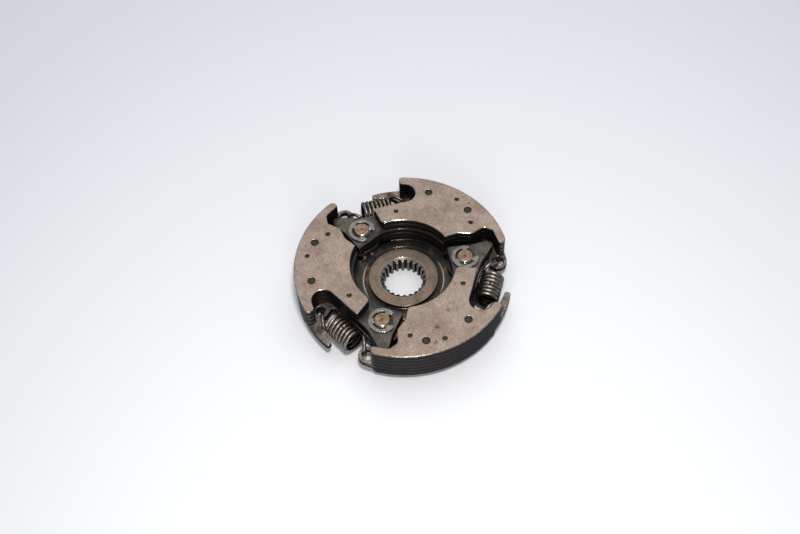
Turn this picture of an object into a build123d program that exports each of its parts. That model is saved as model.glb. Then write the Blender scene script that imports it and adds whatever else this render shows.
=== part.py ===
from build123d import *
from math import cos, radians, sin
import os

# Centrifugal clutch: a splined hub carries three laminated shoes, each on its own pivot pin, and
# three extension springs pull every shoe in towards the hub. Millimetres and degrees. The origin
# is on the shaft's axis in the hub's back face, and +Z points to the side with the clips.
# Outlines are drawn for the first shoe, whose pivot is at pin_angle, and are turned to the others.


def at(radius, degrees, centre=(0, 0)):
    return Vector(*centre) + Vector(radius * cos(radians(degrees)), radius * sin(radians(degrees)))


# Clearances
running_fit = 0.05
press_gap = 0.02
side_gap = 0.1
rest_gap = 0.2
hook_gap = 0.1

# Shoe plates: six stamped plates in each shoe, number 1 on the clip side
shoe_count = 3
plate_count = 6
plate_thickness = 3.05
stack_base = 4.6
plate_edge = 0.3
stack_height = plate_count * plate_thickness

# Outer face that rubs in the drum, ground a little off the shaft's axis
lining_centre = (-0.5, 0.9)
lining_radius = 55.9
free_angle = 8.7
free_tip = at(lining_radius, free_angle, lining_centre)

# Hub: splined ring, round flange, and a drive disc with three raised pads for the pins
spline_teeth = 22
spline_minor = 10.3
spline_major = 11.7
spline_overlap = 0.5
groove_mouth = 1.95
groove_floor = 1.1
bore_mouth = 12.6
bore_mouth_depth = 1.6
boss_radius = 18.3
boss_rise = 1.85
recess_radius = 21
recess_depth = 0.5
flange_radius = 25.3
pad_radius = 6.55
hub_thickness = stack_base + plate_thickness - side_gap
disc_thickness = stack_base - rest_gap


def across(share, degrees):
    """A point on the shoe, at a share of the way from the hub's flange to the lining."""
    return at(flange_radius + share * (lining_radius - flange_radius), degrees)


# Pivot pins, their clips and the bushes in the shoe ears
pin_angle = 129
pin_centre = across(0.26, pin_angle)
pin_circle = pin_centre.length
pin_radius = 4
pin_inset = 0.3
pin_stand = 0.75
pin_edge = 0.4
pin_centre_radius = 0.5
pin_centre_depth = 0.4
groove_depth = 0.5
clip_thickness = 0.9
clip_radius = 7.15
clip_ring = 1.9
clip_opening = 80
clip_lug_place = 4.5
clip_lug_length = 2.6
clip_lug_width = 2.8
clip_lug_angle = 52
clip_turns = (-35, 0, 34)
bush_wall = 1.45
ear_first = 3
ear_last = 5
disc_radius = pin_circle + pad_radius
bush_bore = pin_radius + running_fit
bush_radius = bush_bore + bush_wall
ear_base = stack_base + (plate_count - ear_last) * plate_thickness
ear_top = stack_base + (plate_count - ear_first + 1) * plate_thickness
clip_base = ear_top + side_gap
pin_top = clip_base + clip_thickness + pin_stand

# Rivets, and the dimples that lock the plates together
rivet_radius = 2
rivet_inset = 0.25
rivet_places = (across(0.736, 70.33), across(0.746, 41.26))
dimple_radius = 1.2
dimple_depth = 0.8
dimple_places = (across(0.267, 93.59), across(0.807, 51.88), across(0.605, 32.15))

# Spring pocket: a slot that opens towards the pivot, with a round end
pocket_centre = across(0.67, 86.24)
pocket_radius = 5.85
pocket_floor_slope = 12.3
pocket_roof_slope = 12
prong_depth = 4.5
prong_angle = 89.1
lower_prong_angle = 82
lower_roof_angle = 45
long_prong_angle = 105.3
long_prong_depth = 3
prong_root_depth = 4.6
prong_root_angle = 94.1
finger_length = 18.8
lower_finger_length = 14.6
pocket_floor = at(pocket_radius, pocket_floor_slope - 90, pocket_centre)
pocket_roof = at(pocket_radius, 90 - pocket_roof_slope, pocket_centre)
pocket_end = at(pocket_radius, 0, pocket_centre)
finger_top = at(finger_length, 180 + pocket_floor_slope, pocket_floor)
lower_finger_top = at(lower_finger_length, 180 + pocket_floor_slope, pocket_floor)
prong_side = at(lining_radius, prong_angle, lining_centre)
prong_tip = at(lining_radius - prong_depth, prong_angle, lining_centre)
lower_roof = at(pocket_radius, lower_roof_angle, pocket_centre)

# Plate 5: the hole for the near spring hook, and the eye for the neighbour's far hook
hook_hole = pocket_centre + Vector(2.3, 1.7)
hook_hole_radius = 2.6
eye_radius = 4.8
eye_hole_radius = 3.1
eye_angle = 5.8
eye = at(lining_radius - eye_radius, eye_angle, lining_centre)
eye_start = at(lining_radius, eye_angle, lining_centre)
eye_neck = (across(0.676, 18.5), across(0.699, 8.4))
prong_step = (hook_hole + Vector(-5.1, 0.9), hook_hole + Vector(-4.3, -1.9))
hook_ledge = (hook_hole + Vector(-2, -5.8), hook_hole + Vector(-4.5, -8.6))

# Inner edges of the plates, kept clear of the hub's flange: radius, then where each starts and ends
upper_bore = (flange_radius + 2, 111, 33)
ear_bore = (flange_radius + 0.7, 114.5, 35.5)
hooked_bore = (flange_radius + 1.1, 114.5, 35.5)
lower_bore = (flange_radius + rest_gap, 103, 33)

# The notch beside the free end, from the cusp at the hub to the lining
notch = (
    across(0.3, 29.5),
    across(0.489, 23.3),
    across(0.739, 24.5),
    across(0.85, 20.1),
    across(0.855, 10.4),
)

# The heel of the pivot ear, measured from the pin
heel_front = pin_centre + Vector(0.4, 8.8)
heel_top = pin_centre + Vector(-15.5, 9.9)
heel_back = pin_centre + Vector(-15, 5.5)
ear_waist = pin_centre + Vector(-9.4, -0.4)
ear_foot = pin_centre + Vector(-1.7, -11.6)
ear_radius = 9.5
ear_back_angle = 98.7
ear_side_angle = 225
ear_back = at(ear_radius, ear_back_angle, pin_centre)
ear_side = at(ear_radius, ear_side_angle, pin_centre)

# Corner rounds
small_round = 1.2
tip_round = 1.7
free_round = 2.6
step_round = 3
ledge_round = 1.5
heel_round = 2.1
heel_hollow = 20
notch_rounds = (8, 4, 3, 2, 1.3)

# Springs: from the eye of the next shoe to the hook hole of this one
wire_radius = 0.95
wire_sides = 8
wire_apothem = wire_radius * cos(radians(180 / wire_sides))
chords_per_turn = 14
coil_radius = 5.2
coil_pitch = 2.2
coil_turns = 7.5
coil_reach = 10
hook_crown = (5.5, -2.8, 4.2)
hook_shoulder = (8.4, -5.1, 3)
hook_tail = 2.9
hook_drop = 0.5
bend_cut = 0.8
hook_level = stack_base + (plate_count - ear_last + 1) * plate_thickness


def shoe_plane(shoe, height):
    """Plane at a height, turned to the place of one shoe."""
    return Plane.XY.offset(height).rotated((0, 0, shoe * 360 / shoe_count))


def plate_base(layer):
    return stack_base + (plate_count - layer) * plate_thickness


def bore_edge(radius, start, end):
    """The plate's inner edge round the flange."""
    return ThreePointArc(at(radius, start), at(radius, (start + end) / 2), at(radius, end))


def round_corners(outline, radius, *corners):
    """Fillet the outline's corner nearest to each point."""
    for corner in corners:
        fillet(outline.vertices().sort_by_distance(corner)[0], radius)


def round_notch(outline):
    for corner, radius in zip(notch, notch_rounds):
        round_corners(outline, radius, corner)
    round_corners(outline, free_round, free_tip)


def pocket_side():
    """Lining face, prong tip and pocket, ending at the pocket's floor."""
    CenterArc(lining_centre, lining_radius, free_angle, prong_angle - free_angle)
    Polyline(prong_side, prong_tip, pocket_roof)
    ThreePointArc(pocket_roof, pocket_end, pocket_floor)


def upper_outline(outline):
    """Plates 1 and 2: a finger under the pocket, ending short of the pivot."""
    with BuildLine() as loop:
        pocket_side()
        bore = bore_edge(*upper_bore)
        Polyline(pocket_floor, finger_top, bore @ 0)
        Polyline(bore @ 1, *notch, free_tip)
    make_face(loop.edges())
    round_corners(outline, small_round, finger_top)
    round_corners(outline, step_round, bore @ 0)
    round_corners(outline, tip_round, prong_side, prong_tip)
    round_notch(outline)


def ear_outline(outline):
    """Plates 3 and 4: the pivot ear with its three-cornered heel."""
    with BuildLine() as loop:
        pocket_side()
        bore = bore_edge(*ear_bore)
        Polyline(pocket_floor, heel_front, heel_top, heel_back, ear_waist, ear_foot, bore @ 0)
        Polyline(bore @ 1, *notch, free_tip)
    make_face(loop.edges())
    round_corners(outline, heel_hollow, heel_front)
    round_corners(outline, heel_round, heel_top, heel_back)
    round_corners(outline, small_round, ear_foot)
    round_corners(outline, tip_round, prong_side, prong_tip)
    round_notch(outline)


def hooked_outline(outline):
    """Plate 5: the ear, the long outer prong, the hook hole and the eye."""
    prong_end = at(lining_radius, long_prong_angle, lining_centre)
    prong_inner = at(lining_radius - long_prong_depth, long_prong_angle, lining_centre)
    prong_root = at(lining_radius - prong_root_depth, prong_root_angle, lining_centre)
    prong_middle = at(
        lining_radius - (long_prong_depth + prong_root_depth) / 2,
        (long_prong_angle + prong_root_angle) / 2,
        lining_centre,
    )
    with BuildLine() as loop:
        ThreePointArc(eye_start, at(lining_radius, long_prong_angle / 2, lining_centre), prong_end)
        Line(prong_end, prong_inner)
        ThreePointArc(prong_inner, prong_middle, prong_root)
        bore = bore_edge(*hooked_bore)
        Polyline(prong_root, *prong_step, *hook_ledge, ear_back, ear_side, ear_foot, bore @ 0)
        Polyline(bore @ 1, *notch[:2], *eye_neck, eye, eye_start)
    make_face(loop.edges())
    round_corners(outline, small_round, prong_end, prong_inner, prong_root, ear_foot)
    round_corners(outline, step_round, *prong_step, eye_neck[0])
    round_corners(outline, ledge_round, *hook_ledge)
    round_corners(outline, notch_rounds[0], notch[0])
    with Locations(pin_centre):
        Circle(ear_radius)
    with Locations(eye):
        Circle(eye_radius)
        Circle(eye_hole_radius, mode=Mode.SUBTRACT)
    with Locations(hook_hole):
        Circle(hook_hole_radius, mode=Mode.SUBTRACT)


def lower_outline(outline):
    """Plate 6: ends short of the hub's pad, and is open below the hook hole."""
    with BuildLine() as loop:
        lining = CenterArc(lining_centre, lining_radius, free_angle, lower_prong_angle - free_angle)
        Line(lining @ 1, lower_roof)
        ThreePointArc(lower_roof, pocket_end, pocket_floor)
        bore = bore_edge(*lower_bore)
        Polyline(pocket_floor, lower_finger_top, bore @ 0)
        Polyline(bore @ 1, *notch, free_tip)
    make_face(loop.edges())
    round_corners(outline, small_round, lower_finger_top, bore @ 0)
    round_notch(outline)


outlines = (upper_outline, upper_outline, ear_outline, ear_outline, hooked_outline, lower_outline)

os.makedirs("parts", exist_ok=True)

# Hub: disc with pads, flange, a raised ring in a shallow recess, and the splined bore
with BuildPart() as hub:
    with BuildSketch(Plane.XY):
        Circle(disc_radius)
        with PolarLocations(pin_circle, shoe_count, start_angle=pin_angle):
            Circle(pin_radius, mode=Mode.SUBTRACT)
    extrude(amount=disc_thickness)
    with BuildSketch(Plane.XY.offset(disc_thickness)):
        Circle(flange_radius)
        with PolarLocations(pin_circle / 2, shoe_count, start_angle=pin_angle):
            Rectangle(pin_circle, 2 * pad_radius)
        with PolarLocations(pin_circle, shoe_count, start_angle=pin_angle):
            Circle(pad_radius)
            Circle(pin_radius, mode=Mode.SUBTRACT)
    extrude(amount=hub_thickness - disc_thickness)
    with BuildSketch(Plane.XY.offset(hub_thickness)):
        Circle(recess_radius)
    extrude(amount=-recess_depth, mode=Mode.SUBTRACT)
    with BuildSketch(Plane.XY.offset(hub_thickness - recess_depth)):
        Circle(boss_radius)
    extrude(amount=recess_depth + boss_rise)
    with BuildSketch(Plane.XY):
        Circle(spline_minor)
        with PolarLocations(0, spline_teeth):
            Polygon(
                (spline_minor - spline_overlap, -groove_mouth / 2),
                (spline_minor, -groove_mouth / 2),
                (spline_major, -groove_floor / 2),
                (spline_major, groove_floor / 2),
                (spline_minor, groove_mouth / 2),
                (spline_minor - spline_overlap, groove_mouth / 2),
                align=None,
            )
    extrude(amount=hub_thickness + boss_rise, mode=Mode.SUBTRACT)
    with Locations((0, 0, hub_thickness + boss_rise - bore_mouth_depth / 2)):
        Cone(spline_minor, bore_mouth, bore_mouth_depth, mode=Mode.SUBTRACT)
hub.part.label = "hub"
export_step(hub.part, "parts/hub.step")

# Pivot pins, pressed into the hub's pads
for shoe in range(shoe_count):
    with BuildPart() as pin:
        base = shoe_plane(shoe, pin_inset)
        with BuildSketch(base):
            with Locations(pin_centre):
                Circle(pin_radius)
        extrude(amount=pin_top - pin_inset)
        chamfer(pin.faces().sort_by(Axis.Z)[-1].edges(), pin_edge)
        with BuildSketch(shoe_plane(shoe, clip_base - press_gap)):
            with Locations(pin_centre):
                Circle(pin_radius + running_fit)
                Circle(pin_radius - groove_depth, mode=Mode.SUBTRACT)
        extrude(amount=clip_thickness + 2 * press_gap, mode=Mode.SUBTRACT)
        with BuildSketch(shoe_plane(shoe, pin_top)):
            with Locations(pin_centre):
                Circle(pin_centre_radius)
        extrude(amount=-pin_centre_depth, taper=45, mode=Mode.SUBTRACT)
    pin.part.label = f"pivot_pin_{shoe + 1}"
    export_step(pin.part, f"parts/pivot_pin_{shoe + 1}.step")

# Retaining clips: an open ring with three lugs that stand in the pin's groove
for shoe in range(shoe_count):
    clip_origin = shoe_plane(shoe, clip_base).from_local_coords(pin_centre)
    clip_plane = Plane(clip_origin).rotated((0, 0, clip_turns[shoe]))
    with BuildPart() as clip:
        with BuildSketch(clip_plane):
            Circle(clip_radius)
            Circle(clip_radius - clip_ring, mode=Mode.SUBTRACT)
            for angle in (-clip_lug_angle, clip_lug_angle, 180):
                with Locations(Location(at(clip_lug_place, angle), angle)):
                    Rectangle(clip_lug_length, clip_lug_width)
            Circle(pin_radius - groove_depth + press_gap, mode=Mode.SUBTRACT)
            Polygon(
                (0, 0),
                at(2 * clip_radius, -clip_opening / 2),
                at(2 * clip_radius, clip_opening / 2),
                align=None,
                mode=Mode.SUBTRACT,
            )
            for angle in (-clip_opening / 2, clip_opening / 2):
                with Locations(at(clip_radius - clip_ring / 2, angle)):
                    Circle(clip_ring / 2)
        extrude(amount=clip_thickness)
    clip.part.label = f"pivot_clip_{shoe + 1}"
    export_step(clip.part, f"parts/pivot_clip_{shoe + 1}.step")

# Shoe plates
for shoe in range(shoe_count):
    for layer in range(1, plate_count + 1):
        base = plate_base(layer)
        with BuildPart() as plate:
            with BuildSketch(shoe_plane(shoe, base)) as outline:
                outlines[layer - 1](outline)
                with Locations(*rivet_places):
                    Circle(rivet_radius + press_gap, mode=Mode.SUBTRACT)
                if ear_first <= layer <= ear_last:
                    with Locations(pin_centre):
                        Circle(bush_radius, mode=Mode.SUBTRACT)
                if layer == plate_count:
                    with Locations(*dimple_places):
                        Circle(dimple_radius, mode=Mode.SUBTRACT)
            extrude(amount=plate_thickness)
            if layer == 1:
                chamfer(plate.faces().sort_by(Axis.Z)[-1].outer_wire().edges(), plate_edge)
                with BuildSketch(shoe_plane(shoe, base + plate_thickness)):
                    with Locations(*dimple_places):
                        Circle(dimple_radius)
                extrude(amount=-dimple_depth, mode=Mode.SUBTRACT)
        plate.part.label = f"shoe_{shoe + 1}_plate_{layer}"
        export_step(plate.part, f"parts/shoe_{shoe + 1}_plate_{layer}.step")

# Rivets and bushes
for shoe in range(shoe_count):
    for number, place in enumerate(rivet_places, start=1):
        with BuildPart() as rivet:
            with BuildSketch(shoe_plane(shoe, stack_base + rivet_inset)):
                with Locations(place):
                    Circle(rivet_radius)
            extrude(amount=stack_height - 2 * rivet_inset)
        rivet.part.label = f"shoe_{shoe + 1}_rivet_{number}"
        export_step(rivet.part, f"parts/shoe_{shoe + 1}_rivet_{number}.step")
    with BuildPart() as bush:
        with BuildSketch(shoe_plane(shoe, ear_base)):
            with Locations(pin_centre):
                Circle(bush_radius)
                Circle(bush_bore, mode=Mode.SUBTRACT)
        extrude(amount=ear_top - ear_base)
    bush.part.label = f"shoe_{shoe + 1}_bush"
    export_step(bush.part, f"parts/shoe_{shoe + 1}_bush.step")

# Springs: right-handed coils with a raised hook at each end that wraps the wall of its hole. The
# wire is one path of short chords, drawn with flats, which keeps its many turns light.
def hook_points(hole_plane, hole_radius):
    """From the hook's tail, under the wall of its hole, up through the hole and over to the coil."""
    wall = hole_radius - wire_apothem - hook_gap
    under = -plate_thickness - wire_radius - hook_gap
    over = wire_radius + 2 * hook_gap
    tail = (wall + hook_tail, 0, under - hook_drop)
    local = (tail, (wall, 0, under), (wall, 0, over), hook_crown, hook_shoulder)
    return [hole_plane.from_local_coords(point) for point in local]


def cut_corners(points):
    """Each corner becomes two, a short way along its runs, which rounds the bend."""
    cut = [points[0]]
    for before, corner, after in zip(points, points[1:], points[2:]):
        cut.append(corner + (before - corner).normalized() * bend_cut)
        cut.append(corner + (after - corner).normalized() * bend_cut)
    return cut + [points[-1]]


for shoe in range(shoe_count):
    far_end = shoe_plane(shoe + 1, hook_level).from_local_coords(eye)
    near_end = shoe_plane(shoe, hook_level).from_local_coords(hook_hole)
    along = (near_end - far_end).normalized()
    far_plane = Plane(far_end, x_dir=along, z_dir=(0, 0, 1))
    near_plane = Plane(near_end, x_dir=-along, z_dir=(0, 0, 1))
    coil = []
    for step in range(round(coil_turns * chords_per_turn) + 1):
        turned = radians(180 + 360 * step / chords_per_turn)
        height = coil_reach + coil_pitch * step / chords_per_turn
        place = (height, coil_radius * cos(turned), coil_radius * sin(turned))
        coil.append(far_plane.from_local_coords(place))
    far_hook = cut_corners(hook_points(far_plane, eye_hole_radius) + [coil[0]])
    near_hook = cut_corners(hook_points(near_plane, hook_hole_radius) + [coil[-1]])
    with BuildPart() as spring:
        with BuildLine() as wire:
            path = Polyline(*far_hook, *coil[1:-1], *reversed(near_hook))
        with BuildSketch(Plane(origin=path @ 0, z_dir=path % 0)):
            RegularPolygon(wire_radius, wire_sides)
        sweep(path=wire.line, transition=Transition.RIGHT)
    spring.part.label = f"spring_{shoe + 1}"
    export_step(spring.part, f"parts/spring_{shoe + 1}.step")
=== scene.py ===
from math import cos, radians, sin, tau

import bpy
from mathutils import Matrix, Vector


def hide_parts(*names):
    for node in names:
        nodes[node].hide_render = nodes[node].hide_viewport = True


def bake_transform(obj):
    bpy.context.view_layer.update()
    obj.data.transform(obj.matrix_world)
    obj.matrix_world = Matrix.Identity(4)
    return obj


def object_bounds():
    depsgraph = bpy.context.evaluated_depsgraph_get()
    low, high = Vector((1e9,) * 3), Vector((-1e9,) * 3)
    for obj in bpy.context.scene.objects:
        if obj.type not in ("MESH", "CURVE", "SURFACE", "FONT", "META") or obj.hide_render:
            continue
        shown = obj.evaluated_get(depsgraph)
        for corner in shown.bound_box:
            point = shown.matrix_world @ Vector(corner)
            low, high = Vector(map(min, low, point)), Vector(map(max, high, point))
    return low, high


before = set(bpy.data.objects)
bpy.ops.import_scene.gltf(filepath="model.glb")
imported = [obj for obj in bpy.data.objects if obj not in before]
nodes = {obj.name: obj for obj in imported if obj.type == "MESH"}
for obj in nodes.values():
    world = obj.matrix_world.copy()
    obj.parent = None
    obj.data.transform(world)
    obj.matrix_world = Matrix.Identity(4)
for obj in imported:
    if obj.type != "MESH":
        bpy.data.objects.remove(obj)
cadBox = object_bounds()
mm = 0.001
print("frame loaded:", len(nodes), "nodes")


def toLinear(hexColour):
    # "#rrggbb" in sRGB to the linear RGBA that the sockets take
    values = [int(hexColour[i : i + 2], 16) / 255 for i in (1, 3, 5)]
    return [v / 12.92 if v <= 0.04045 else ((v + 0.055) / 1.055) ** 2.4 for v in values] + [1]


def perMetre(millimetres):
    # texture scale for a pattern that repeats about every so many millimetres
    return 1000 / millimetres


def addNode(tree, kind, inputs={}, stops=(), **settings):
    # settings, then values, sockets or other nodes into its inputs, then a ramp's stops
    # MapRange takes the value at 0, its range at 1 and 2 and the new range at 3 and 4
    # Mix takes its share at 0 and the two colours at 6 and 7
    node = tree.nodes.new("ShaderNode" + kind)
    for key, value in settings.items():
        setattr(node, key, value)
    for socket, value in inputs.items():
        if isinstance(value, bpy.types.Node):
            value = value.outputs[2 if value.bl_idname == "ShaderNodeMix" else 0]
        if isinstance(value, bpy.types.NodeSocket):
            tree.links.new(value, node.inputs[socket])
        else:
            node.inputs[socket].default_value = toLinear(value) if isinstance(value, str) else value
    for index, (place, value) in enumerate(stops):
        if index > 1:  # a new ramp has two stops
            node.color_ramp.elements.new(place)
        node.color_ramp.elements[index].position = place
        colour = toLinear(value) if isinstance(value, str) else (value, value, value, 1)
        node.color_ramp.elements[index].color = colour
    return node


def newMaterial(name):
    material = bpy.data.materials.new(name)
    material.use_nodes = True
    tree = material.node_tree
    tree.nodes.clear()
    return material, tree


def useShader(tree, inputs):
    shader = addNode(tree, "BsdfPrincipled", inputs)
    addNode(tree, "OutputMaterial", {"Surface": shader})


noises = {
    "film": {"Detail": 6, "Roughness": 0.65},
    "patches": {"Detail": 5, "Roughness": 0.6},
    "flecks": {"Detail": 4, "Roughness": 0.7},
    "streaks": {"Detail": 3},
    "grain": {"Detail": 2},
    "pits": {"Detail": 1, "Roughness": 0.6},
}

masks = {
    "noiseSpan": (0.3, 0.7),  # most of a noise's values lie between these
    "bevelSamples": 6,  # rays that look for an edge at each point
    "turn": (0.985, 0.9),  # cosine of the bevel's turn where wear begins and where it is full
    "spotFade": (1.35, 0.85),  # shares of a spot's radius where it begins and where it is full
    # by how far up a surface points: a cut corner and a flat face
    "corner": ((0.25, 0), (0.45, 1), (0.85, 1), (0.95, 0)),
    "flat": ((0.85, 0), (0.95, 1)),
}


def wornEdges(tree, width):
    # a normal that rounds every edge, and a mask that is 1 on the edge itself
    softNormal = addNode(tree, "Bevel", {"Radius": width}, samples=masks["bevelSamples"])
    trueNormal = addNode(tree, "NewGeometry").outputs["True Normal"]
    turn = addNode(tree, "VectorMath", {0: softNormal, 1: trueNormal}, operation="DOT_PRODUCT")
    begins, full = masks["turn"]
    worn = addNode(tree, "MapRange", {0: turn.outputs["Value"], 1: begins, 2: full, 3: 0, 4: 1})
    return softNormal, worn


def spotMask(tree, level, spots, ragged=0):
    # spots on the level plane, each x, y and radius in mm; ragged is how much of a radius is lost
    total = None
    for x, y, radius in spots:
        size = radius * mm
        away = addNode(tree, "VectorMath", {0: level, 1: (x * mm, y * mm, 0)}, operation="DISTANCE")
        distance = away.outputs["Value"]
        uneven = addNode(tree, "Math", {0: ragged, 1: size, 2: distance}, operation="MULTIPLY_ADD")
        begins, full = (size * share for share in masks["spotFade"])
        spot = addNode(tree, "MapRange", {0: uneven, 1: begins, 2: full, 3: 0, 4: 1})
        if total is not None:
            spot = addNode(tree, "Math", {0: total, 1: spot}, operation="MAXIMUM")
        total = spot
    return total


def paint(material, *names):
    for name in names:
        for slot in nodes[name].material_slots:
            slot.material = material


cameraView = {
    "frame": (800, 534),  # pixels of the photograph
    "focal": 956.5,  # focal length in those pixels
    "elevation": 55.615,  # degrees, as the roll is
    "roll": -3.02,
    "aimPixel": (402.72, 262.16),  # where the middle of the top plates' plane shows
    "aimHeight": cadBox[1][2],
    "distance": 0.4934,  # metres along the view
    "filmWidth": 36,  # mm
    "nearest": 0.01,
}


def makeCamera(view):
    width, height = view["frame"]
    tilt, roll = radians(view["elevation"]), radians(view["roll"])
    forward = Vector((0, cos(tilt), -sin(tilt)))
    level, upright = Vector((1, 0, 0)), Vector((0, sin(tilt), cos(tilt)))
    right = level * cos(roll) + upright * sin(roll)
    up = upright * cos(roll) - level * sin(roll)
    across = (view["aimPixel"][0] - width / 2) / view["focal"]
    down = (view["aimPixel"][1] - height / 2) / view["focal"]
    ray = forward + right * across - up * down
    camera = bpy.data.objects.new("camera", bpy.data.cameras.new("camera"))
    bpy.context.scene.collection.objects.link(camera)
    camera.data.sensor_width = view["filmWidth"]
    camera.data.lens = view["focal"] * view["filmWidth"] / width
    camera.data.clip_start = view["nearest"]
    rotation = Matrix((right, up, -forward)).transposed().to_4x4()
    place = Vector((0, 0, view["aimHeight"])) - ray * view["distance"]
    camera.matrix_world = Matrix.Translation(place) @ rotation
    bpy.context.scene.camera = camera


studio = {
    "floor": "#e4e6ea",
    "floorSize": 6,  # metres
    "floorRoughness": 0.7,
    "sky": "#e8eef6",
    "skyPower": 0.30,
    # each light: place and width in metres, power in watts, colour
    "lights": {
        "flash": ((0.02, -0.172, 0.50), 0.07, 1.7, "#fffaf4"),
        "window": ((0.05, 0.60, 0.95), 1.6, 6.6, "#fbfcff"),
        "lowLamp": ((0.0, -0.50, 0.27), 0.28, 0.9, "#ffffff"),
    },
}


def makeStudio(room):
    bpy.ops.mesh.primitive_plane_add(size=room["floorSize"])
    floorPlane = bpy.context.object
    floorPlane.name = "floor"
    material, tree = newMaterial("paleFloorPaint")  # matt paint: even, pale and a little blue
    useShader(tree, {"Base Color": room["floor"], "Roughness": room["floorRoughness"]})
    floorPlane.data.materials.append(material)
    for name, (place, width, power, colour) in room["lights"].items():
        lamp = bpy.data.lights.new(name, "AREA")
        lamp.shape = "DISK"
        lamp.size, lamp.energy, lamp.color = width, power, toLinear(colour)[:3]
        light = bpy.data.objects.new(name, lamp)
        light.location = place
        light.rotation_euler = (-Vector(place)).to_track_quat("-Z", "Y").to_euler()
        bpy.context.scene.collection.objects.link(light)
    world = bpy.data.worlds.new("room")
    world.use_nodes = True
    backdrop = world.node_tree.nodes["Background"]
    backdrop.inputs["Color"].default_value = toLinear(room["sky"])
    backdrop.inputs["Strength"].default_value = room["skyPower"]
    bpy.context.scene.world = world
    bpy.context.scene.view_settings.view_transform = "Standard"  # no film curve on the colours


makeCamera(cameraView)
makeStudio(studio)
print("camera, floor and lights made")


shoes = {
    "count": 3,
    "plateThickness": 3.05 * mm,
    "stackBase": 4.6 * mm,
    "stackTop": cadBox[1][2],
    # places on the first shoe, in mm: x, y and radius
    "dimples": ((-2.1, 33.4, 1.1), (30.9, 39.3, 1.1), (37.1, 23.3, 1.1)),
    "rivets": ((16.1, 45.0, 1.5), (36.2, 31.7, 1.5)),
    "pinCentres": ((-20.9, 25.8, 0.6),),
    "dimpleFloor": (0.4, 0.6, 0.9, 1.0),  # mm below the top: dust begins, is full, fades and ends
    # mm from the hub's axis, each where its effect is still full and where it ends
    "besideHub": (27, 29),  # the shaded part of the faces
    "innerWalls": (31, 36),  # the walls that face the hub
    "innerRims": (51, 53),  # the edges inside the lining
    # by the share of a plate's thickness, from its lower face up
    "tipBand": ((0.3, 0), (0.6, 1), (0.9, 1), (0.96, 0)),
    "lipBand": ((0.74, 0), (0.82, 0.8), (0.9, 0.8), (0.95, 0)),
    "gapBand": ((0.0, 1), (0.06, 1), (0.14, 0), (0.96, 0), (1.0, 1)),
}


def turnedTo(shoe, x, y):
    # a place on the first shoe, turned to another
    angle = tau * shoe / shoes["count"]
    return x * cos(angle) - y * sin(angle), x * sin(angle) + y * cos(angle)


def onEveryShoe(spots):
    return [turnedTo(shoe, x, y) + (size,) for shoe in range(shoes["count"]) for x, y, size in spots]


topPlate = {
    "name": "blastedSteelTop",
    "light": "#ab9a8b",
    "dark": "#8f7d70",
    "cloud": 9,  # mm across a cloud of brown film
    "cloudRange": (0.36, 0.6),
    "grain": 0.55,  # mm between pits; the real ones, near 0.1 mm, would be too fine to show
    "grainRange": (0.34, 0.56),
    "grainShare": 0.75,
    "grainColour": "#7d6c60",
    "grainDepth": 0.03,  # mm
    "grainBump": 0.5,
    "fleck": 1.3,  # mm across a dark fleck
    "flecks": 0.655,  # higher leaves fewer flecks
    "fleckFade": 0.04,
    "fleckShare": 0.85,
    "fleckColour": "#4e352a",
    # stains on the faces: x, y and radius in mm
    "stains": (
        (21.2, -30.4, 1.2),
        (15.1, -39.8, 1.8),
        (14.0, -48.3, 1.6),
        (18.6, 33.0, 0.8),
        (37.2, 36.3, 1.0),
    ),
    "stainColour": "#5f392c",
    "stainShare": 0.7,
    "stainRagged": (-0.2, 1.0),
    "dust": "#4d4138",  # in the dimples
    "dustRoughness": 0.65,
    "hubShade": 0,  # how dark the faces get beside the hub
    "wall": "#393a3e",
    "wallFilm": "#3f3c39",
    "wallTint": "#b2b3b8",  # what the walls still mirror of the pale floor at a low angle
    "innerWallPaintedLight": "#46443f",  # painted light: lighter on the walls that face the hub, which lie in shade
    "streak": 1.2,  # mm between the shear marks, coarse enough to show
    "streakRise": 0.12,  # below 1 draws them out upwards
    "streakRange": (0.35, 0.7),
    "seam": "#040404",
    "lip": "#5f564e",  # line along the upper edge of each plate's wall: partly wear, partly painted highlight
    "innerLipHighlight": "#8a8378",  # the same line on the walls that face the hub, brighter as painted highlight
    "tip": "#6f6862",
    "tips": onEveryShoe(((0.2, 54.6, 2.2), (54.0, 9.6, 2.2))),  # rubbed corners of the lining
    "rim": ("#5f5850", "#c9c2b8"),
    "rimRange": (0.42, 0.6),
    "rimRoughness": 0.17,
    "innerRimWearAndHighlight": "#b5ada2",  # brighter on every edge but the lining's: partly rubbed, partly painted highlight
    "innerRimShare": 0.7,
    "edgeWidth": 0.6,  # mm that an edge is rounded and worn
    "roughness": (0.36, 0.52),
}

# the ears lie lower, out of the light: darker, partly painted shade and partly old oil; greyer, with
# fewer flecks
earPlate = {
    **topPlate,
    "name": "oiledAndShadedSteelEar",
    "light": "#6c655d",
    "dark": "#45413c",
    "cloud": 5,
    "grainColour": "#4a443f",
    "flecks": 0.70,
    "hubShade": 0.75,
    "stains": (),
}

# the plates with the long prongs: rubbed in patches, and stained dark on each prong
hookPlate = {
    **topPlate,
    "name": "rubbedSteelProng",
    "light": "#a0958a",
    "dark": "#6b5d53",
    "cloud": 4,
    "grainColour": "#4a3a32",
    "flecks": 0.66,
    "hubShade": 0.9,
    "stains": onEveryShoe(((-4.5, 53.5, 3.2),)),
    "stainColour": "#3d1f18",
}


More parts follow.
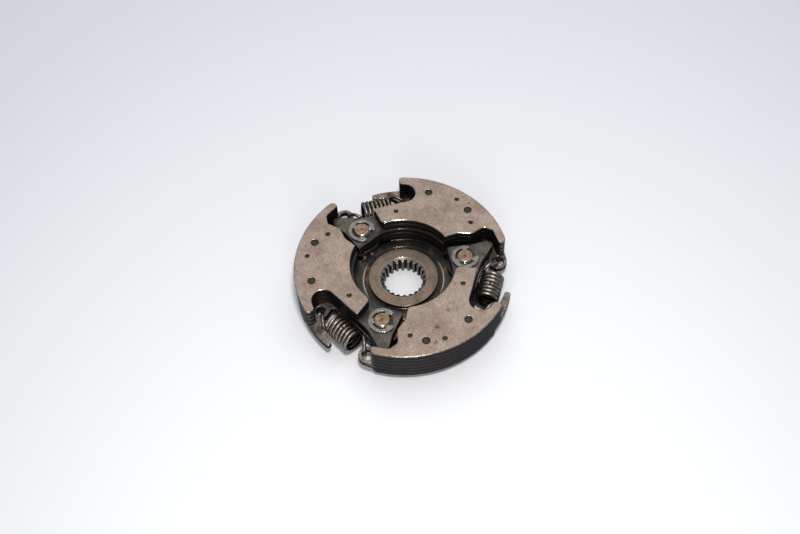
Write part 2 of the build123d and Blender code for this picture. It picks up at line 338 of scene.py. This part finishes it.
def plateFace(tree, here, level, height, radius, look):
    # the flat faces: brown film, pits, flecks, stains, dusty dimples and the shade by the hub
    clouds = {"Vector": here, "Scale": perMetre(look["cloud"]), **noises["film"]}
    clouds = addNode(tree, "TexNoise", clouds)
    stops = zip(look["cloudRange"], (look["dark"], look["light"]))
    face = addNode(tree, "ValToRGB", {0: clouds}, stops=stops)
    grain = {"Vector": here, "Scale": perMetre(look["grain"]), **noises["pits"]}
    grain = addNode(tree, "TexNoise", grain)
    stops = zip(look["grainRange"], (look["grainShare"], 0))
    pitted = addNode(tree, "ValToRGB", {0: grain}, stops=stops)
    face = addNode(tree, "Mix", {0: pitted, 6: face, 7: look["grainColour"]}, data_type="RGBA")
    flecks = {"Vector": here, "Scale": perMetre(look["fleck"]), **noises["flecks"]}
    flecks = addNode(tree, "TexNoise", flecks)
    stops = ((look["flecks"], 0), (look["flecks"] + look["fleckFade"], look["fleckShare"]))
    flecked = addNode(tree, "ValToRGB", {0: flecks}, stops=stops)
    face = addNode(tree, "Mix", {0: flecked, 6: face, 7: look["fleckColour"]}, data_type="RGBA")
    if look["stains"]:
        low, high = masks["noiseSpan"]
        least, most = look["stainRagged"]
        ragged = addNode(tree, "MapRange", {0: flecks, 1: low, 2: high, 3: least, 4: most})
        stained = spotMask(tree, level, look["stains"], ragged)
        stained = addNode(tree, "Math", {0: stained, 1: look["stainShare"]}, operation="MULTIPLY")
        face = addNode(tree, "Mix", {0: stained, 6: face, 7: look["stainColour"]}, data_type="RGBA")
    begins, full, fades, ends = (shoes["stackTop"] - depth * mm for depth in shoes["dimpleFloor"])
    sunk = addNode(tree, "MapRange", {0: height, 1: begins, 2: full, 3: 0, 4: 1})
    above = addNode(tree, "MapRange", {0: height, 1: ends, 2: fades, 3: 0, 4: 1})
    dusty = addNode(tree, "Math", {0: sunk, 1: above}, operation="MULTIPLY")
    face = addNode(tree, "Mix", {0: dusty, 6: face, 7: look["dust"]}, data_type="RGBA")
    full, ends = (distance * mm for distance in shoes["besideHub"])
    shade = addNode(tree, "MapRange", {0: radius, 1: ends, 2: full, 3: 0, 4: look["hubShade"]})
    face = addNode(tree, "Mix", {0: shade, 6: face, 7: look["wall"]}, data_type="RGBA")
    return face, grain, flecks


def plateWall(tree, here, level, height, radius, look):
    # the sheared walls: streaks, rubbed tips, painted light on the walls that face the hub, a line
    # along each plate that is partly worn and partly painted highlight, and the gap below it
    up = addNode(tree, "Math", {0: height, 1: shoes["stackBase"]}, operation="SUBTRACT")
    layer = addNode(tree, "Math", {0: up, 1: shoes["plateThickness"]}, operation="DIVIDE")
    within = addNode(tree, "Math", {0: layer}, operation="FRACT")
    drawnOut = {0: here, 1: (1, 1, look["streakRise"])}
    stretched = addNode(tree, "VectorMath", drawnOut, operation="MULTIPLY")
    streaks = {"Vector": stretched, "Scale": perMetre(look["streak"]), **noises["streaks"]}
    streaks = addNode(tree, "TexNoise", streaks)
    stops = zip(look["streakRange"], (look["wall"], look["wallFilm"]))
    wall = addNode(tree, "ValToRGB", {0: streaks}, stops=stops)
    touched = spotMask(tree, level, look["tips"])
    bands = addNode(tree, "ValToRGB", {0: within}, stops=shoes["tipBand"])
    touched = addNode(tree, "Math", {0: touched, 1: bands}, operation="MULTIPLY")
    wall = addNode(tree, "Mix", {0: touched, 6: wall, 7: look["tip"]}, data_type="RGBA")
    # painted light: the walls that face the hub, which lie in shade, made lighter
    full, ends = (distance * mm for distance in shoes["innerWalls"])
    inner = addNode(tree, "MapRange", {0: radius, 1: ends, 2: full, 3: 0, 4: 1})
    wall = addNode(tree, "Mix", {0: inner, 6: wall, 7: look["innerWallPaintedLight"]}, data_type="RGBA")
    # the line along each plate's upper edge: partly wear, partly painted highlight, brighter on the
    # walls that face the hub
    worn = addNode(tree, "Mix", {0: inner, 6: look["lip"], 7: look["innerLipHighlight"]}, data_type="RGBA")
    lip = addNode(tree, "ValToRGB", {0: within}, stops=shoes["lipBand"])
    wall = addNode(tree, "Mix", {0: lip, 6: wall, 7: worn}, data_type="RGBA")
    gap = addNode(tree, "ValToRGB", {0: within}, stops=shoes["gapBand"])
    wall = addNode(tree, "Mix", {0: gap, 6: wall, 7: look["seam"]}, data_type="RGBA")
    tint = addNode(tree, "Mix", {0: gap, 6: look["wallTint"], 7: look["seam"]}, data_type="RGBA")
    return wall, tint


def plateMaterial(look):
    # cold-rolled steel, stamped: flat faces blasted to a tan film with fine pits, sheared walls
    # left near black, bright metal worn through on the edges, a painted highlight on the edges inside
    # the lining, and a dark gap between two plates
    material, tree = newMaterial(look["name"])
    coords = addNode(tree, "TexCoord")
    here = coords.outputs["Object"]
    height = addNode(tree, "SeparateXYZ", {0: here}).outputs[2]
    facing = addNode(tree, "SeparateXYZ", {0: coords.outputs["Normal"]}).outputs[2]
    level = addNode(tree, "VectorMath", {0: here, 1: (1, 1, 0)}, operation="MULTIPLY")
    radius = addNode(tree, "VectorMath", {0: level}, operation="LENGTH").outputs["Value"]
    softNormal, worn = wornEdges(tree, look["edgeWidth"] * mm)
    face, grain, flecks = plateFace(tree, here, level, height, radius, look)
    wall, tint = plateWall(tree, here, level, height, radius, look)

    rim = addNode(tree, "ValToRGB", {0: facing}, stops=masks["corner"])
    flat = addNode(tree, "ValToRGB", {0: facing}, stops=masks["flat"])
    colour = addNode(tree, "Mix", {0: flat, 6: wall, 7: face}, data_type="RGBA")
    tint = addNode(tree, "Mix", {0: flat, 6: tint, 7: "#ffffff"}, data_type="RGBA")
    tint = addNode(tree, "Mix", {0: rim, 6: tint, 7: "#ffffff"}, data_type="RGBA")
    # the edges' colour, and inside the lining a brighter one: partly wear, partly painted highlight
    rimWearAndHighlight = addNode(tree, "ValToRGB", {0: flecks}, stops=zip(look["rimRange"], look["rim"]))
    full, ends = (distance * mm for distance in shoes["innerRims"])
    inside = {0: radius, 1: ends, 2: full, 3: 0, 4: look["innerRimShare"]}
    inside = addNode(tree, "MapRange", inside)
    rimWearAndHighlight = addNode(tree, "Mix", {0: inside, 6: rimWearAndHighlight, 7: look["innerRimWearAndHighlight"]}, data_type="RGBA")
    colour = addNode(tree, "Mix", {0: rim, 6: colour, 7: rimWearAndHighlight}, data_type="RGBA")
    hollow = spotMask(tree, level, onEveryShoe(shoes["dimples"]))
    colour = addNode(tree, "Mix", {0: hollow, 6: colour, 7: look["dust"]}, data_type="RGBA")

    rolled = addNode(tree, "Math", {0: rim, 1: worn}, operation="MAXIMUM")
    low, high = masks["noiseSpan"]
    smooth, rough = look["roughness"]
    roughness = addNode(tree, "MapRange", {0: grain, 1: low, 2: high, 3: rough, 4: smooth})
    roughness = addNode(tree, "MapRange", {0: rolled, 3: roughness, 4: look["rimRoughness"]})
    roughness = addNode(tree, "MapRange", {0: hollow, 3: roughness, 4: look["dustRoughness"]})
    depth = {"Strength": look["grainBump"], "Distance": look["grainDepth"] * mm}
    bump = addNode(tree, "Bump", {**depth, "Height": grain, "Normal": softNormal})
    metal = {"Base Color": colour, "Metallic": 1, "Roughness": roughness, "Normal": bump}
    useShader(tree, {**metal, "Specular Tint": tint})
    return material


topSteel, earSteel, hookSteel = (plateMaterial(look) for look in (topPlate, earPlate, hookPlate))
for shoe in range(1, shoes["count"] + 1):
    paint(topSteel, f"shoe_{shoe}_plate_1", f"shoe_{shoe}_plate_2")
    paint(earSteel, f"shoe_{shoe}_plate_3", f"shoe_{shoe}_plate_4")
    paint(hookSteel, f"shoe_{shoe}_plate_5", f"shoe_{shoe}_plate_6")
print("shoe plates painted")


hub = {
    # radii of the solid's rings, where its colours change
    "landRadius": 10.4 * mm,
    "boreMouth": 12.6 * mm,
    "bossRadius": 18.3 * mm,
    "recessRadius": 21 * mm,
    "flangeRadius": 25.3 * mm,
    "discRadius": 39.8 * mm,
    "boreSteel": "#4a4d48",
    "bossSteel": "#8e7e6e",
    "recessSteel": "#3b3a36",
    "flangeSteel": "#4f4e48",
    "discSteel": "#35342f",
    "wall": "#2b2b28",
    "turning": 0.7,  # mm between turning marks, coarse enough to show
    "turningShade": "#a09483",
    "turningStops": ((0.4, 0.4), (0.62, 0)),
    "turningDepth": 0.03,  # mm
    "turningBump": 0.6,
    "cloud": 7,  # mm across a patch of film
    "filmStops": ((0.4, 0.5), (0.62, 0)),
    "oil": "#7a5c4f",
    "oilStops": ((0.52, 0), (0.66, 0.7)),
    "topStops": ((0.5, 0), (0.7, 1)),  # by how far up a face points
    "land": "#6c665c",  # tops of the spline teeth, rubbed by the shaft
    "groove": "#191a17",
    "mouth": "#c2bab0",  # the bevel round the bore
    "mouthStops": ((0.7, 0), (0.78, 1), (0.86, 1), (0.92, 0)),
    "crescentHighlight": "#b9b2a6",  # painted highlight on the recess's edge, on its left and right
    "crescentReach": (0.86, 0.97),  # how far sideways it begins and where it is full
    "crescentShare": 0.9,
    "crescentWidth": (0.985, 1.0, 1.015, 1.03),  # shares of the recess's radius
    "oilGlints": ((-22.3, 14.0, 1.2), (-20.6, 14.8, 1.2), (-16.4, 17.4, 0.8)),  # painted glints of wet oil by the flange
    "oilGlintColour": "#f2d8cc",
    "oilGlintRagged": (-0.3, 0.6),
    "edge": "#a8a196",
    "edgeShare": 0.35,
    "edgeWidth": 0.5,  # mm
    "edgeRoughness": 0.18,
    "roughness": (0.28, 0.48),
}


def turnedRings(tree, share, scored, clouds, look):
    # the faces in rings, each of its own colour; shares near 1 leave a narrow band between two
    # rings, where one fades to the next
    bands = (
        ("boreSteel", 0, look["boreMouth"] * 0.97),
        ("bossSteel", look["boreMouth"], look["bossRadius"] * 0.99),
        ("recessSteel", look["bossRadius"], look["recessRadius"]),
        ("flangeSteel", look["recessRadius"] * 1.02, look["flangeRadius"]),
        ("discSteel", look["flangeRadius"] * 1.01, look["discRadius"]),
    )
    ends = [(name, place) for name, start, end in bands for place in (start, end)]
    stops = [(place / look["discRadius"], look[name]) for name, place in ends]
    rings = addNode(tree, "ValToRGB", {0: share}, stops=stops)
    scoring = addNode(tree, "ValToRGB", {0: scored}, stops=look["turningStops"])
    shaded = {0: scoring, 6: rings, 7: look["turningShade"]}
    rings = addNode(tree, "Mix", shaded, data_type="RGBA", blend_type="MULTIPLY")
    filmed = addNode(tree, "ValToRGB", {0: clouds}, stops=look["filmStops"])
    rings = addNode(tree, "Mix", {0: filmed, 6: rings, 7: look["wall"]}, data_type="RGBA")
    oiled = addNode(tree, "ValToRGB", {0: clouds}, stops=look["oilStops"])
    return addNode(tree, "Mix", {0: oiled, 6: rings, 7: look["oil"]}, data_type="RGBA")


def paintedCrescentHighlights(tree, level, share, look):
    # a mask for the painted highlight on the recess's edge, on its left and right only
    sideways = addNode(tree, "VectorMath", {0: level}, operation="NORMALIZE")
    sideways = addNode(tree, "SeparateXYZ", {0: sideways})
    sideways = addNode(tree, "Math", {0: sideways}, operation="ABSOLUTE")
    begins, full = look["crescentReach"]
    reach = {0: sideways, 1: begins, 2: full, 3: 0, 4: look["crescentShare"]}
    sideways = addNode(tree, "MapRange", reach)
    edge = look["recessRadius"] / look["discRadius"]
    stops = zip([edge * place for place in look["crescentWidth"]], (0, 1, 1, 0))
    edgeRing = addNode(tree, "ValToRGB", {0: share}, stops=stops)
    return addNode(tree, "Math", {0: sideways, 1: edgeRing}, operation="MULTIPLY")


def hubMaterial(look):
    # medium carbon steel, turned and broached: rings of tool marks, tan on the raised ring that
    # has rubbed, dark greenish oil film in the recess, on the flange and between the teeth
    material, tree = newMaterial("turnedOilySteel")
    coords = addNode(tree, "TexCoord")
    here = coords.outputs["Object"]
    facing = addNode(tree, "SeparateXYZ", {0: coords.outputs["Normal"]}).outputs[2]
    level = addNode(tree, "VectorMath", {0: here, 1: (1, 1, 0)}, operation="MULTIPLY")
    radius = addNode(tree, "VectorMath", {0: level}, operation="LENGTH").outputs["Value"]
    share = addNode(tree, "Math", {0: radius, 1: look["discRadius"]}, operation="DIVIDE")
    softNormal, worn = wornEdges(tree, look["edgeWidth"] * mm)
    clouds = {"Vector": here, "Scale": perMetre(look["cloud"]), **noises["film"]}
    clouds = addNode(tree, "TexNoise", clouds)
    circles = addNode(tree, "CombineXYZ", {0: radius})
    marks = {"Vector": circles, "Scale": perMetre(look["turning"]), **noises["streaks"]}
    scored = addNode(tree, "TexNoise", marks)

    rings = turnedRings(tree, share, scored, clouds, look)
    # the walls: the tops of the teeth, the grooves between them, and beyond the bore's mouth
    walls = (
        (look["landRadius"] * 0.995, "land"),
        (look["landRadius"] * 1.01, "groove"),
        (look["boreMouth"], "groove"),
        (look["boreMouth"] * 1.02, "wall"),
    )
    stops = [(place / look["discRadius"], look[name]) for place, name in walls]
    sides = addNode(tree, "ValToRGB", {0: share}, stops=stops)
    top = addNode(tree, "ValToRGB", {0: facing}, stops=look["topStops"])
    colour = addNode(tree, "Mix", {0: top, 6: sides, 7: rings}, data_type="RGBA")
    mouth = addNode(tree, "ValToRGB", {0: facing}, stops=look["mouthStops"])
    colour = addNode(tree, "Mix", {0: mouth, 6: colour, 7: look["mouth"]}, data_type="RGBA")
    # painted highlight on the recess's edge
    crescentHighlight = paintedCrescentHighlights(tree, level, share, look)
    colour = addNode(tree, "Mix", {0: crescentHighlight, 6: colour, 7: look["crescentHighlight"]}, data_type="RGBA")
    low, high = masks["noiseSpan"]
    # painted glints of wet oil by the flange
    least, most = look["oilGlintRagged"]
    ragged = addNode(tree, "MapRange", {0: scored, 1: low, 2: high, 3: least, 4: most})
    oilGlint = spotMask(tree, level, look["oilGlints"], ragged)
    colour = addNode(tree, "Mix", {0: oilGlint, 6: colour, 7: look["oilGlintColour"]}, data_type="RGBA")
    bright = addNode(tree, "Math", {0: worn, 1: look["edgeShare"]}, operation="MULTIPLY")
    colour = addNode(tree, "Mix", {0: bright, 6: colour, 7: look["edge"]}, data_type="RGBA")

    polished = addNode(tree, "Math", {0: mouth, 1: worn}, operation="MAXIMUM")
    smooth, rough = look["roughness"]
    roughness = addNode(tree, "MapRange", {0: clouds, 1: low, 2: high, 3: smooth, 4: rough})
    roughness = addNode(tree, "MapRange", {0: polished, 3: roughness, 4: look["edgeRoughness"]})
    depth = {"Strength": look["turningBump"], "Distance": look["turningDepth"] * mm}
    bump = addNode(tree, "Bump", {**depth, "Height": scored, "Normal": softNormal})
    useShader(tree, {"Base Color": colour, "Metallic": 1, "Roughness": roughness, "Normal": bump})
    return material


paint(hubMaterial(hub), "hub")
print("hub painted")


smallParts = {
    "edgeWidth": 0.4,  # mm
    "edgeRoughness": 0.15,
    "patchRange": (0.38, 0.62),
    "grain": 0.4,  # mm between grains; the real ones would be too fine to show
    "grainStops": ((0.36, 0.5), (0.55, 0)),
    "grainDepth": 0.02,  # mm
    "grainBump": 0.3,
}

# ground carbon steel: smooth, browned by old oil, bright round its end
pin = {
    "name": "groundPinSteel",
    "light": "#9f8873",
    "dark": "#735b48",
    "patch": 2.5,  # mm across a patch
    "edge": "#e8dccd",
    "edgeShare": 0.8,
    "roughness": (0.25, 0.42),
    "centres": shoes["pinCentres"],  # a brown mark in the middle of each pin
    "centreColour": "#7a5540",
    "centreRoughness": 0.7,
}

# spring steel, phosphated: an even grey, paler along its edges
clip = {
    "name": "phosphatedClipSteel",
    "light": "#8e8c84",
    "dark": "#6d6b64",
    "patch": 2.5,
    "edge": "#d8d6cd",
    "edgeShare": 0.6,
    "roughness": (0.34, 0.5),
}

# turned bronze, oiled: nearly black with dirt, a little lighter on its rim
bush = {
    "name": "oiledBushBronze",
    "light": "#4a4540",
    "dark": "#35312d",
    "patch": 2,
    "edge": "#7c7468",
    "edgeShare": 0.5,
    "roughness": (0.35, 0.5),
}

# steel, pressed flush and blackened: a dull spot in a ring of painted shade
rivet = {
    "name": "blackenedRivetSteel",
    "light": "#4c4a42",
    "dark": "#34332e",
    "patch": 1.2,
    # painted shade: the rivet's edges darkened where it sits in its hole
    "edge": "#141312",
    "edgeShare": 0.9,
    "roughness": (0.4, 0.6),
    "heads": shoes["rivets"],
    "headRingShade": "#121110",  # painted shade where the rivet meets its hole
}


def oiledMetal(look):
    # a small part under a thin film of oil and dust: soft patches, a faint grain, and its edges
    # rubbed or, on a rivet, ringed with painted shade
    material, tree = newMaterial(look["name"])
    coords = addNode(tree, "TexCoord")
    here = coords.outputs["Object"]
    facing = addNode(tree, "SeparateXYZ", {0: coords.outputs["Normal"]}).outputs[2]
    level = addNode(tree, "VectorMath", {0: here, 1: (1, 1, 0)}, operation="MULTIPLY")
    softNormal, worn = wornEdges(tree, smallParts["edgeWidth"] * mm)
    patch = {"Vector": here, "Scale": perMetre(look["patch"]), **noises["patches"]}
    patch = addNode(tree, "TexNoise", patch)
    stops = zip(smallParts["patchRange"], (look["dark"], look["light"]))
    colour = addNode(tree, "ValToRGB", {0: patch}, stops=stops)
    grain = {"Vector": here, "Scale": perMetre(smallParts["grain"]), **noises["grain"]}
    grain = addNode(tree, "TexNoise", grain)
    dusty = addNode(tree, "ValToRGB", {0: grain}, stops=smallParts["grainStops"])
    colour = addNode(tree, "Mix", {0: dusty, 6: colour, 7: look["dark"]}, data_type="RGBA")
    if "heads" in look:
        # painted shade: a dark ring round each rivet's head
        head = spotMask(tree, level, onEveryShoe(look["heads"]))
        colour = addNode(tree, "Mix", {0: head, 6: look["headRingShade"], 7: colour}, data_type="RGBA")
    rim = addNode(tree, "ValToRGB", {0: facing}, stops=masks["corner"])
    edge = addNode(tree, "Math", {0: worn, 1: rim}, operation="MAXIMUM")
    bright = addNode(tree, "Math", {0: edge, 1: look["edgeShare"]}, operation="MULTIPLY")
    colour = addNode(tree, "Mix", {0: bright, 6: colour, 7: look["edge"]}, data_type="RGBA")
    low, high = masks["noiseSpan"]
    smooth, rough = look["roughness"]
    roughness = addNode(tree, "MapRange", {0: patch, 1: low, 2: high, 3: smooth, 4: rough})
    roughness = addNode(tree, "MapRange", {0: bright, 3: roughness, 4: smallParts["edgeRoughness"]})
    if "centres" in look:
        centre = spotMask(tree, level, onEveryShoe(look["centres"]))
        roughness = addNode(tree, "MapRange", {0: centre, 3: roughness, 4: look["centreRoughness"]})
        colour = addNode(tree, "Mix", {0: centre, 6: colour, 7: look["centreColour"]}, data_type="RGBA")
    depth = {"Strength": smallParts["grainBump"], "Distance": smallParts["grainDepth"] * mm}
    bump = addNode(tree, "Bump", {**depth, "Height": grain, "Normal": softNormal})
    useShader(tree, {"Base Color": colour, "Metallic": 1, "Roughness": roughness, "Normal": bump})
    return material


pinSteel, clipSteel, bushBronze, rivetSteel = (oiledMetal(look) for look in (pin, clip, bush, rivet))
for shoe in range(1, shoes["count"] + 1):
    paint(pinSteel, f"pivot_pin_{shoe}")
    paint(clipSteel, f"pivot_clip_{shoe}")
    paint(bushBronze, f"shoe_{shoe}_bush")
    paint(rivetSteel, f"shoe_{shoe}_rivet_1", f"shoe_{shoe}_rivet_2")
print("pins, clips, bushes and rivets painted")


spring = {
    "wireRadius": 0.95 * mm,
    "wireSides": 14,
    "coilRadius": 5.2 * mm,
    "pitch": 2.2 * mm,
    "turns": 7.5,
    "phase": 180,  # degrees round the coil where the first turn begins
    "reach": 10 * mm,  # from the eye's middle to the first turn
    "level": 10.7 * mm,  # height of the coil's middle
    "eye": (50.34 * mm, 6.06 * mm),  # in the first shoe's place
    "hookHole": (5.3 * mm, 47.4 * mm),
    # each hook in mm, from its hole's middle: towards the coil, sideways and up
    "farHook": ((5.02, 0, -4.6), (2.12, 0, -4.1), (2.12, 0, 1.15)),
    "nearHook": ((4.52, 0, -4.6), (1.62, 0, -4.1), (1.62, 0, 1.15)),
    "hookArch": ((5.5, -2.8, 4.2), (8.4, -5.1, 3)),
    "stepsPerTurn": 28,
    "roundings": 3,
    "light": "#968d84",
    "dark": "#665e57",
    "patch": 1.6,  # mm across a patch
    "patchRange": (0.35, 0.6),
    # brown grime and painted shade on the side of the wire that faces into the coil
    "grimeAndShade": "#15110e",
    "grimeAndShadeRange": (-0.1, 0.7),  # by how far the wire faces into the coil
    "grain": 0.35,  # mm between the drawing marks, coarse enough to show
    "grainDepth": 0.02,  # mm
    "grainBump": 0.25,
    "edgeTint": "#a0968c",  # what the wire mirrors at a low angle
    "roughness": (0.30, 0.44),
}


def roundCorners(points, times):
    # cuts every corner at its quarter points, again and again
    for _ in range(times):
        cut = [points[0]]
        for a, b in zip(points, points[1:]):
            cut += [a.lerp(b, 0.25), a.lerp(b, 0.75)]
        points = cut + [points[-1]]
    return points


def springPath(shoe):
    # the wire's middle line in two halves, each from the coil's middle to a hook, how many points
    # of each are coil, and three points on the coil's axis
    farEnd = Vector((*turnedTo(shoe + 1, *spring["eye"]), spring["level"]))
    nearEnd = Vector((*turnedTo(shoe, *spring["hookHole"]), spring["level"]))
    along = (nearEnd - farEnd).normalized()
    outward = Vector((0, 0, 1)).cross(along)

    # u runs along the coil from the far eye, n sideways and w up
    def place(u, n, w):
        return farEnd + along * u + outward * n + Vector((0, 0, w))

    steps = round(spring["turns"] * spring["stepsPerTurn"])
    coil = []
    for step in range(steps + 1):
        angle = radians(spring["phase"]) + tau * step / spring["stepsPerTurn"]
        u = spring["reach"] + spring["pitch"] * step / spring["stepsPerTurn"]
        coil.append(place(u, spring["coilRadius"] * cos(angle), spring["coilRadius"] * sin(angle)))
    length = (nearEnd - farEnd).length
    farHook, nearHook = spring["farHook"] + spring["hookArch"], spring["nearHook"] + spring["hookArch"]
    farHook = [place(u * mm, n * mm, w * mm) for u, n, w in farHook]
    nearHook = [place(length - u * mm, -n * mm, w * mm) for u, n, w in nearHook]
    tail = roundCorners(farHook + [coil[0]], spring["roundings"])
    head = roundCorners(nearHook + [coil[-1]], spring["roundings"])
    middle = steps // 2
    farHalf = coil[middle::-1] + tail[-2::-1]
    nearHalf = coil[middle:] + head[-2::-1]
    axis = [place(u, 0, 0) for u in (spring["reach"], length / 2, length - spring["reach"])]
    return farHalf, nearHalf, middle + 1, steps - middle + 1, axis


def makeWire(name, path, coilSteps, axis, material):
    # a round wire along the path; the attribute says how far a point of the coil faces inwards
    sides = spring["wireSides"]
    axisStart, along = axis[0], (axis[2] - axis[0]).normalized()
    points, faces, inside = [], [], []
    side = None
    for index, centre in enumerate(path):
        ahead = (path[min(index + 1, len(path) - 1)] - path[max(index - 1, 0)]).normalized()
        if side is None:
            side = ahead.orthogonal()
        side = (side - ahead * side.dot(ahead)).normalized()
        other = ahead.cross(side)
        onAxis = axisStart + along * (centre - axisStart).dot(along)
        inward = (onAxis - centre).normalized()
        for corner in range(sides):
            angle = tau * corner / sides
            away = side * cos(angle) + other * sin(angle)
            points.append(centre + away * spring["wireRadius"])
            inside.append(away.dot(inward) if index < coilSteps else 0.0)
    for index in range(len(path) - 1):
        for corner in range(sides):
            first, after = index * sides + corner, index * sides + (corner + 1) % sides
            faces.append((first, after, after + sides, first + sides))
    faces.append(tuple(range(sides))[::-1])
    faces.append(tuple(range((len(path) - 1) * sides, len(path) * sides)))
    mesh = bpy.data.meshes.new(name)
    mesh.from_pydata(points, [], faces)
    mesh.shade_smooth()
    attribute = mesh.attributes.new("inside", "FLOAT", "POINT")
    attribute.data.foreach_set("value", inside)
    mesh.materials.append(material)
    wire = bpy.data.objects.new(name, mesh)
    bpy.context.scene.collection.objects.link(wire)
    return wire


def springMaterial(look):
    # drawn carbon-steel wire, oiled: soft grey shine outside, brown grime and painted shade between the
    # turns, on the side that faces into the coil
    material, tree = newMaterial("drawnSpringWire")
    here = addNode(tree, "TexCoord").outputs["Object"]
    patch = {"Vector": here, "Scale": perMetre(look["patch"]), **noises["patches"]}
    patch = addNode(tree, "TexNoise", patch)
    stops = zip(look["patchRange"], (look["dark"], look["light"]))
    colour = addNode(tree, "ValToRGB", {0: patch}, stops=stops)
    inside = addNode(tree, "Attribute", attribute_name="inside").outputs["Fac"]
    begins, full = look["grimeAndShadeRange"]
    grimyAndShaded = addNode(tree, "MapRange", {0: inside, 1: begins, 2: full, 3: 0, 4: 1})
    colour = addNode(tree, "Mix", {0: grimyAndShaded, 6: colour, 7: look["grimeAndShade"]}, data_type="RGBA")
    low, high = masks["noiseSpan"]
    smooth, rough = look["roughness"]
    roughness = addNode(tree, "MapRange", {0: patch, 1: low, 2: high, 3: smooth, 4: rough})
    grain = {"Vector": here, "Scale": perMetre(look["grain"]), **noises["grain"]}
    grain = addNode(tree, "TexNoise", grain)
    depth = {"Strength": look["grainBump"], "Distance": look["grainDepth"] * mm}
    bump = addNode(tree, "Bump", {**depth, "Height": grain})
    metal = {"Base Color": colour, "Metallic": 1, "Roughness": roughness, "Normal": bump}
    useShader(tree, {**metal, "Specular Tint": look["edgeTint"]})
    return material


springSteel = springMaterial(spring)
for shoe in range(shoes["count"]):
    farHalf, nearHalf, farSteps, nearSteps, axis = springPath(shoe)
    farWire = makeWire(f"spring_{shoe + 1}_far_half", farHalf, farSteps, axis, springSteel)
    nearWire = makeWire(f"spring_{shoe + 1}_near_half", nearHalf, nearSteps, axis, springSteel)
    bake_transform(farWire)
    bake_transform(nearWire)
    for wire in (farWire, nearWire):
        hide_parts(f"spring_{shoe + 1}")
print("springs wound")
